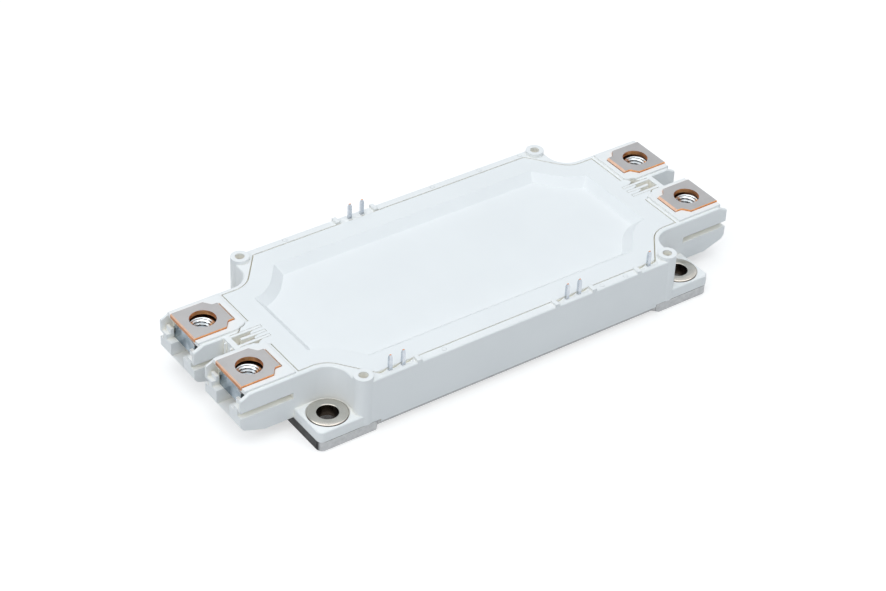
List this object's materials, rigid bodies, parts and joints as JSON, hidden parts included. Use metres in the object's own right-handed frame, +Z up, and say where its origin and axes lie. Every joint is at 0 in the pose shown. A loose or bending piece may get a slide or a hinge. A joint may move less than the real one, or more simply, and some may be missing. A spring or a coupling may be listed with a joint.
{
  "type": "silicon carbide schottky diode module",
  "caption": "Flat power semiconductor module with a metal base plate, white moulded housing, screw terminals in arms at both ends and signal pins along its sides.",
  "frame": {"origin": "middle of the base plate's underside, below the middle of the whole part", "axes": "+X along the module towards the end with the single signal pin, +Z up from the base plate to the pins"},
  "size_m": [0.152, 0.0624, 0.0205],
  "materials": {
    "base_metal": "satin nickel plating on copper",
    "housing_plastic": "matte",
    "terminal_metal": "satin nickel plating on copper",
    "nut_steel": "zinc plated",
    "sleeve_metal": "bright nickel plating",
    "pin_metal": "tinned",
    "seal": "cured resin",
    "adhesive": "matte",
    "solder": "dull",
    "bare_copper": "bare copper",
    "substrate_ceramic": "matte",
    "die": "smooth",
    "bond_metal": "bright",
    "thermistor": "matte",
    "gel": "clear silicone"
  },
  "bodies": {
    "root": {"adhesive_bead": "adhesive", "base_plate": "base_metal", "bond_ribbons_1": "bond_metal", "bond_ribbons_2": "bond_metal", "bond_ribbons_3": "bond_metal", "circuit_copper_1": "bare_copper", "circuit_copper_2": "bare_copper", "circuit_copper_3": "bare_copper", "housing_frame": "housing_plastic", "lid": "housing_plastic", "lid_seal": "seal", "mounting_sleeve_back_left": "sleeve_metal", "mounting_sleeve_back_right": "sleeve_metal", "mounting_sleeve_front_left": "sleeve_metal", "mounting_sleeve_front_right": "sleeve_metal", "power_terminal_back_left": "terminal_metal", "power_terminal_back_right": "terminal_metal", "power_terminal_front_left": "terminal_metal", "power_terminal_front_right": "terminal_metal", "schottky_diode_dies_1": "die", "schottky_diode_dies_2": "die", "schottky_diode_dies_3": "die", "signal_pin_back_1": "pin_metal", "signal_pin_back_2": "pin_metal", "signal_pin_front_1": "pin_metal", "signal_pin_front_2": "pin_metal", "signal_pin_front_3": "pin_metal", "signal_pin_front_4": "pin_metal", "signal_pin_front_5": "pin_metal", "signal_wire_back_1": "bond_metal", "signal_wire_back_2": "bond_metal", "signal_wire_front_1": "bond_metal", "signal_wire_front_2": "bond_metal", "signal_wire_front_3": "bond_metal", "signal_wire_front_4": "bond_metal", "signal_wire_front_5": "bond_metal", "silicone_gel": "gel", "substrate_back_copper_1": "bare_copper", "substrate_back_copper_2": "bare_copper", "substrate_back_copper_3": "bare_copper", "substrate_ceramic_1": "substrate_ceramic", "substrate_ceramic_2": "substrate_ceramic", "substrate_ceramic_3": "substrate_ceramic", "substrate_links": "bare_copper", "substrate_solder_1": "solder", "substrate_solder_2": "solder", "substrate_solder_3": "solder", "terminal_nut_back_left": "nut_steel", "terminal_nut_back_right": "nut_steel", "terminal_nut_front_left": "nut_steel", "terminal_nut_front_right": "nut_steel", "thermistor": "thermistor", "transistor_dies_1": "die", "transistor_dies_2": "die", "transistor_dies_3": "die"}
  },
  "joints": []
}
